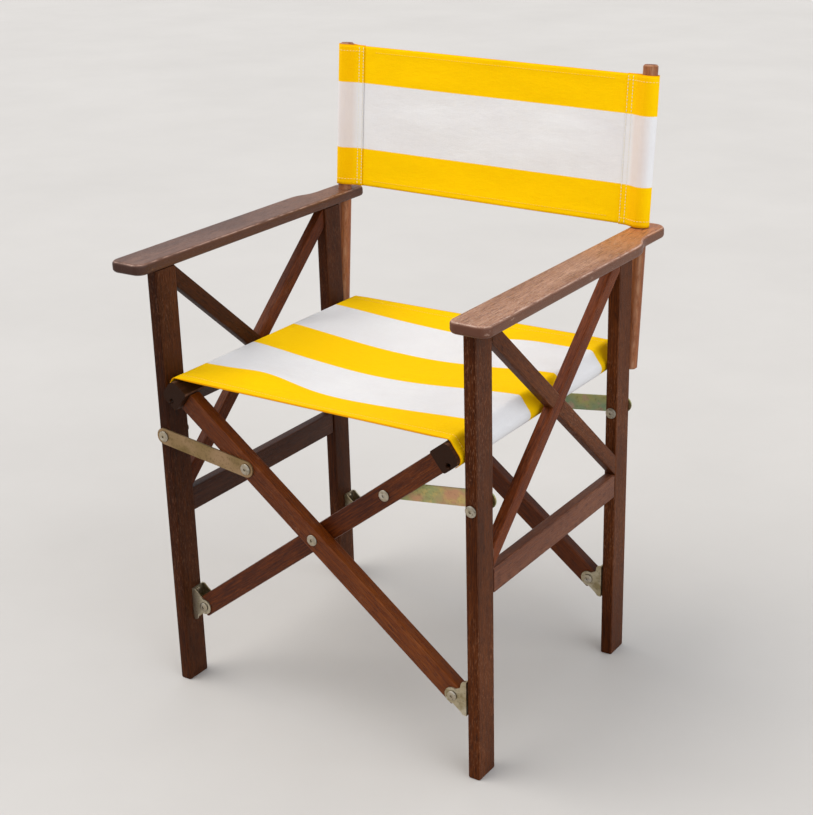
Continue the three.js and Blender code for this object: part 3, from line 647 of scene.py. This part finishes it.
seatEnds = (railLow[1] + seat["setback"], railHigh[1] - seat["setback"])
seatCloth = clothMaterial("seatCanvas", seat["stripes"], seatEnds, brightness=0.88)
seatPoints, uvs, seatThick, seatRun, seatLong = seatGrid()
seatSheet = closeSheet("seat_sheet", seatPoints, uvs, seatThick, seatCloth)
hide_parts("seat_cloth")
print("seat made")


back = {
    "thick": 0.0011, "high": 0.212, "hem": 0.011, "hemExtra": 0.0006, "hemStep": 0.0015,
    "hemStitch": 0.0085, "stripes": [(0.0570, 0.1565)], "gap": 0.0030, "lean": leaning["post"],
    # the sleeve round its post: the post's radius, the room round it, and the pull of the flaps
    "post": 0.0105, "loose": 0.0012, "apart": 0.0004, "pull": 0.42, "past": 0.0006,
    # how far inboard of the post's axis the flap is stitched and ends, and the panel ends
    "stitchIn": 0.024, "flapIn": 0.033, "panelIn": 0.030,
    # the panel's grid and slack, and the flat strip at its ends
    "cells": (110, 60), "slack": 0.0055, "seed": 3, "tucked": 0.021, "flatten": 0.05,
    # how far each end has slid along its post, and how much the cloth has stretched or shrunk
    "leftUp": 0.0058, "rightUp": -0.0019, "leftGrow": 0.002, "rightGrow": -0.018,
}
postLow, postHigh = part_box("right_back_post")
postX = (postLow[0] + postHigh[0]) / 2


def postY(z):  # the post's axis at a height
    foot = postLow[1] + back["post"] / math.cos(back["lean"])
    return foot + (z - postLow[2]) * math.tan(back["lean"])


def leant(x, deep, rise):
    # a point of the backrest: x across, deep behind its middle, rise up along the posts
    base = armHigh[2] + back["gap"]
    share = (x + postX) / (2 * postX)
    grow = back["leftGrow"] + (back["rightGrow"] - back["leftGrow"]) * share
    rise = rise * (1 + grow) + back["leftUp"] + (back["rightUp"] - back["leftUp"]) * share
    c, s = math.cos(back["lean"]), math.sin(back["lean"])
    return np.stack([x, postY(base) + rise * s + deep * c, base + rise * c - deep * s], axis=-1)


def panelTree():
    # the panel's middle surface: a grid with a little slack in it
    g = Growth("backPanel", [("Width", "Float"), ("Height", "Float"), ("Slack", "Float"),
                             ("Seed", "Int"), ("Material", "Material")])
    sheet = g.add("GeometryNodeMeshGrid", None, {
        "Size X": g.given["Width"], "Size Y": g.given["Height"],
        "Vertices X": back["cells"][0], "Vertices Y": back["cells"][1]})
    place = g.add("GeometryNodeInputPosition")
    stretch = g.add("ShaderNodeVectorMath", {"operation": "MULTIPLY"},
                    {0: place, 1: (4.0, 9.0, 1.0)})
    seeded = g.add("ShaderNodeVectorMath", {"operation": "ADD"}, {0: stretch, 1: g.given["Seed"]})
    wave = g.add("ShaderNodeTexNoise", None, {"Vector": seeded, "Scale": 1.6, "Detail": 1.0})
    centred = g.add("ShaderNodeMath", {"operation": "SUBTRACT"}, {0: wave, 1: 0.5})
    sized = g.add("ShaderNodeMath", {"operation": "MULTIPLY"}, {0: centred, 1: g.given["Slack"]})
    lift = g.add("ShaderNodeCombineXYZ", None, {"Z": sized})
    moved = g.add("GeometryNodeSetPosition", None, {"Geometry": sheet, "Offset": lift})
    return g.painted(moved)


def grown(name, tree, values, source=None):
    # runs a Geometry Nodes tree and gives its result as a plain mesh
    holder = linked(name + "Holder", source or bpy.data.meshes.new(name + "Source"))
    modifier = holder.modifiers.new("grow", "NODES")
    modifier.node_group = tree
    for key, value in values.items():
        modifier[socketId(tree, key)] = value
    bpy.context.view_layer.update()
    ready = holder.evaluated_get(bpy.context.evaluated_depsgraph_get())
    result = bpy.data.meshes.new_from_object(ready)
    holder.modifiers.remove(modifier)
    bpy.data.objects.remove(holder)
    result.name = name
    return result


backCloth = clothMaterial("backCanvas", back["stripes"], (0.0, back["high"]))
panelWidth = 2 * (postX - back["panelIn"])
raw = grown("backPanelRaw", panelTree(), {
    "Width": panelWidth, "Height": back["high"], "Slack": back["slack"],
    "Seed": back["seed"], "Material": backCloth})
flat = np.array([v.co[:] for v in raw.vertices])
order = np.lexsort((flat[:, 1], flat[:, 0].round(6)))
flat = flat[order].reshape(*back["cells"], 3)
panelX, panelRise = flat[:, :, 0], flat[:, :, 1] + back["high"] / 2
fromEnd = panelWidth / 2 - np.abs(panelX)
# the strip at each end that slides under a sleeve's flap when the chair is folded stays flat
inFlap = np.clip((fromEnd - back["tucked"]) / back["flatten"], 0, 1)
panelGrid = leant(panelX, -flat[:, :, 2] * inFlap, panelRise)
uvs = np.stack([panelX, panelRise], axis=2)
inside = np.clip((fromEnd - 0.004) / 0.004, 0, 1)  # the hems stay thin at the panel's ends
panelThick = hemmed(back, back["high"] / 2 - np.abs(flat[:, :, 1]), inside)
panel = closeSheet("back_panel", panelGrid, uvs, panelThick, backCloth)
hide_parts("back_cloth")


stitch = {
    "long": 0.0034, "pitch": 0.0046, "wide": 0.00085, "proud": 0.00014, "vary": (0.88, 1.06),
    "fromEnd": 0.004, "flapEdge": 0.0015,
}


def overGrid(grid, thick, col, lift, face):
    # a line on a sheet's face, along its first direction, at a fraction of a column
    low = int(math.floor(col))
    part = col - low
    up = grid + face * normals(grid) * (thick / 2 + lift)[:, :, None]
    return up[:, low] * (1 - part) + up[:, low + 1] * part


def bothFaces(grid, thick, values, targets):
    # a line below and above the sheet at each target among its columns' values
    order = np.argsort(values)
    cols = [float(np.interp(target, values[order], order)) for target in targets]
    return [overGrid(grid, thick, col, stitch["proud"], face) for col in cols for face in (-1, 1)]


def sleevePath(sign):
    # from the flap's front end round the post to its back end: x, deep, length along it
    q = back
    r = q["post"] + q["loose"] + q["thick"] / 2
    lay = q["thick"] + q["apart"]
    end, seam, pull = postX - q["flapIn"], postX - q["stitchIn"], q["pull"]
    front = [(end, -lay), (end + 0.004, -lay), (seam, -lay), (seam + 0.003, -lay * 1.25)]
    fromX, fromDeep = front[-1]
    toX, toDeep = postX - r * math.sin(pull), -r * math.cos(pull)
    for t in np.linspace(0.25, 0.85, 3):
        front.append(((1 - t) * fromX + t * toX, (1 - t) * fromDeep + t * toDeep))
    ring = [(postX + r * math.cos(a), r * math.sin(a))
            for a in np.linspace(-math.pi / 2 - pull, math.pi / 2 + pull, 25)]
    points = np.array(front + ring + [(x, -d) for x, d in front[::-1]])
    points[:, 0] *= sign
    steps = np.hypot(*np.diff(points, axis=0).T)
    return points, np.concatenate([[0], np.cumsum(steps)])


def makeSleeve(side, sign):
    q = back
    path, run = sleevePath(sign)
    rises = np.linspace(-q["past"], q["high"] + q["past"], 46)
    gi, gj = np.meshgrid(np.arange(len(path)), rises, indexing="ij")
    x, d = path[gi, 0], path[gi, 1]
    loose = np.clip((sign * x - (postX - q["stitchIn"])) / 0.02, 0, 1)
    wobble = ripple(run[gi], gj, 21 + (sign > 0), 7, 0.16, 0.05)
    push = 0.0007 * (0.5 + 0.5 * wobble) * loose
    away = np.stack([x - sign * postX, d], axis=2)
    away /= np.maximum(np.linalg.norm(away, axis=2, keepdims=True), 1e-6)
    x, d = x + away[:, :, 0] * push, d + away[:, :, 1] * push
    grid = leant(x, d, gj)
    if sign < 0:  # keeps the faces out on the mirrored side
        grid, gj = grid[:, ::-1], gj[:, ::-1]
    uvs = np.stack([run[gi], gj], axis=2)
    thick = np.full(gj.shape, q["thick"])
    thick[0] = thick[-1] = q["thick"] / 2
    sleeve = closeSheet(side + "_sleeve", grid, uvs, thick, sleeveCloth)
    hemLines = bothFaces(grid, thick, gj[0], (q["hemStitch"], q["high"] - q["hemStitch"]))
    return sleeve, [line[1:-1] for line in hemLines]


sleeveCloth = clothMaterial("sleeveCanvas", back["stripes"], (0.0, back["high"]), (0.010, 0.048))
sleeves, sleeveHems = {}, {}
for side, sign in (("left", -1), ("right", 1)):
    sleeves[side], sleeveHems[side] = makeSleeve(side, sign)
print("backrest made")


def stitchTree():
    # one stitch laid at every step of a line
    g = Growth("stitchRow", [("Long", "Float"), ("Pitch", "Float"), ("Wide", "Float"),
                             ("Seed", "Int"), ("Material", "Material")])
    curve = g.add("GeometryNodeMeshToCurve", None, {0: g.given["Geometry"]})
    spots = g.add("GeometryNodeCurveToPoints", {"mode": "LENGTH"},
                  {"Curve": curve, "Length": g.given["Pitch"]}, "Points")
    bead = g.add("GeometryNodeMeshIcoSphere", None, {"Radius": 0.5, "Subdivisions": 2})
    vary = g.add("FunctionNodeRandomValue", {"data_type": "FLOAT"}, {
        2: stitch["vary"][0], 3: stitch["vary"][1], "Seed": g.given["Seed"]}, 1)
    longer = g.add("ShaderNodeMath", {"operation": "MULTIPLY"}, {0: g.given["Long"], 1: vary})
    size = g.add("ShaderNodeCombineXYZ", None, {
        "X": g.given["Wide"], "Y": g.given["Wide"], "Z": longer})
    laid = g.add("GeometryNodeInstanceOnPoints", None, {
        "Points": spots, "Instance": bead, "Rotation": spots.node.outputs["Rotation"],
        "Scale": size})
    return g.painted(laid)


stitchRow = stitchTree()


def stitches(name, lines, material, seed):
    points, edges = [], []
    for line in lines:
        first = len(points)
        points += [tuple(p) for p in line]
        edges += [(first + i, first + i + 1) for i in range(len(line) - 1)]
    source = bpy.data.meshes.new(name + "Lines")
    source.from_pydata(points, edges, [])
    obj = linked(name, grown(name, stitchRow, {
        "Long": stitch["long"], "Pitch": stitch["pitch"], "Wide": stitch["wide"],
        "Seed": seed, "Material": material}, source))
    return obj


yellowThread = threadMaterial("yellowThread", (0.97, 0.60, 0.05))
paleThread = threadMaterial("paleThread", (0.95, 0.70, 0.25))
whiteThread = threadMaterial("whiteThread", (0.86, 0.80, 0.66))

# along the sleeves' flaps, two rows in front and behind, and round the sleeves' hems
for side, sign in (("left", -1), ("right", 1)):
    lines = []
    rises = np.linspace(stitch["fromEnd"], back["high"] - stitch["fromEnd"], 30)
    for inset in (back["stitchIn"], back["flapIn"] - stitch["flapEdge"]):
        for face in (-1, 1):
            deep = face * (back["thick"] * 1.5 + back["apart"] + stitch["proud"])
            place = sign * (postX - inset)
            lines.append(leant(np.full_like(rises, place), np.full_like(rises, deep), rises))
    seam = stitches(side + "_sleeve_stitches", lines, whiteThread, 5 + (sign > 0))
    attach(seam, side + "_frame")
    hem = stitches(side + "_sleeve_hem_stitches", sleeveHems[side], paleThread, 17 + (sign > 0))
    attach(hem, side + "_frame")
    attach(sleeves[side], side + "_frame")

# along the panel's two hems, and the seat's front and back hems
clear = fromEnd[:, 0] > back["tucked"]
hemLines = bothFaces(panelGrid, panelThick, panelRise[0],
                     (back["hemStitch"], back["high"] - back["hemStitch"]))
hems = stitches("back_hem_stitches", [line[clear] for line in hemLines], yellowThread, 9)
ys = seatPoints[0, :, 1]
hemLines = bothFaces(seatPoints, seatThick, ys,
                     (ys[0] + seat["stitchIn"], ys[-1] - seat["stitchIn"]))
lines = [line[5:-5] for line in hemLines]
seatHems = stitches("seat_hem_stitches", lines, yellowThread, 13)
print("stitches made")


# the backrest panel and its hem stitches go with the left frame; the seat's cloth stays in place
for piece in (seatSheet, seatHems):
    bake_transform(piece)
shut = math.radians(6.3)  # the bars' lean from upright when the chair is folded
travel = 2 * halfBar * (math.cos(tilt) - math.sin(shut))  # of the right frame
keep = (panelWidth - travel) / panelWidth
for piece in (panel, hems):
    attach(piece, "left_frame")
    -panelWidth / 2
    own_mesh(piece)
print("cloth tied to the frame")


studio = {
    "floor": (0.535, 0.505, 0.475), "floorReach": 9.0,
    "world": (0.94, 0.965, 1.0), "worldStrength": 0.80,
    # each light: name, the way to it, strength, how wide it looks in degrees, colour
    "lights": [("keyLight", (-0.55, -0.35, 1.0), 1.9, 50.0, (1.0, 0.985, 0.96)),
               ("sideLight", (1.0, -0.1, 0.55), 1.3, 60.0, (0.86, 0.93, 1.0))],
    # the camera: place in metres, turns in degrees, lens in millimetres
    "eye": (1.18915, -1.75868, 1.22740), "yaw": 33.936, "pitch": 21.159, "roll": -1.542,
    "lens": 70.43,
}


def makeFloor():
    s = Shade("paleFloor")
    coords = s.add("ShaderNodeTexCoord", None, None, 3)
    cloud = s.noise(coords, 1.6, 5.0, 0.6)
    dim = tuple(c * 0.94 for c in studio["floor"])
    base = s.blendColour(cloud.ramp(0.35, 0.7), studio["floor"], dim)
    material = s.finish({"Base Color": base, "Roughness": 0.55 + cloud * 0.2})
    far = studio["floorReach"]
    mesh = bpy.data.meshes.new("floor")
    corners = [(-far, -far, 0), (far, -far, 0), (far, far, 0), (-far, far, 0)]
    mesh.from_pydata(corners, [], [(0, 1, 2, 3)])
    mesh.materials.append(material)
    floor = linked("floor", mesh)


def softSun(name, way, strength, soft, colour):
    lamp = bpy.data.lights.new(name, "SUN")
    lamp.energy = strength
    lamp.angle = math.radians(soft)
    lamp.color = colour
    obj = linked(name, lamp)
    obj.location = Vector(way) * 2
    obj.rotation_euler = (-Vector(way)).to_track_quat("-Z", "Y").to_euler()


def makeCamera():
    q = studio
    a, e, r = (math.radians(q[key]) for key in ("yaw", "pitch", "roll"))
    right = Vector((math.cos(a), math.sin(a), 0))
    away = Vector((math.sin(a) * math.cos(e), -math.cos(a) * math.cos(e), math.sin(e)))
    up = away.cross(right)
    sideways = right * math.cos(r) + up * math.sin(r)
    upwards = up * math.cos(r) - right * math.sin(r)
    turn = Matrix((sideways, upwards, away)).transposed().to_4x4()
    data = bpy.data.cameras.new("view")
    data.sensor_fit = "HORIZONTAL"
    data.sensor_width = 36
    data.lens = q["lens"]
    data.clip_end = 50
    camera = linked("view", data)
    camera.matrix_world = Matrix.Translation(q["eye"]) @ turn
    bpy.context.scene.camera = camera


makeFloor()
world = bpy.data.worlds.new("studio")
bpy.context.scene.world = world
world.use_nodes = True
sky = world.node_tree.nodes["Background"]
sky.inputs["Color"].default_value = (*studio["world"], 1)
sky.inputs["Strength"].default_value = studio["worldStrength"]
for light in studio["lights"]:
    softSun(*light)
makeCamera()
bpy.context.scene.view_settings.view_transform = "Standard"
print("studio set")

bpy.context.view_layer.update()
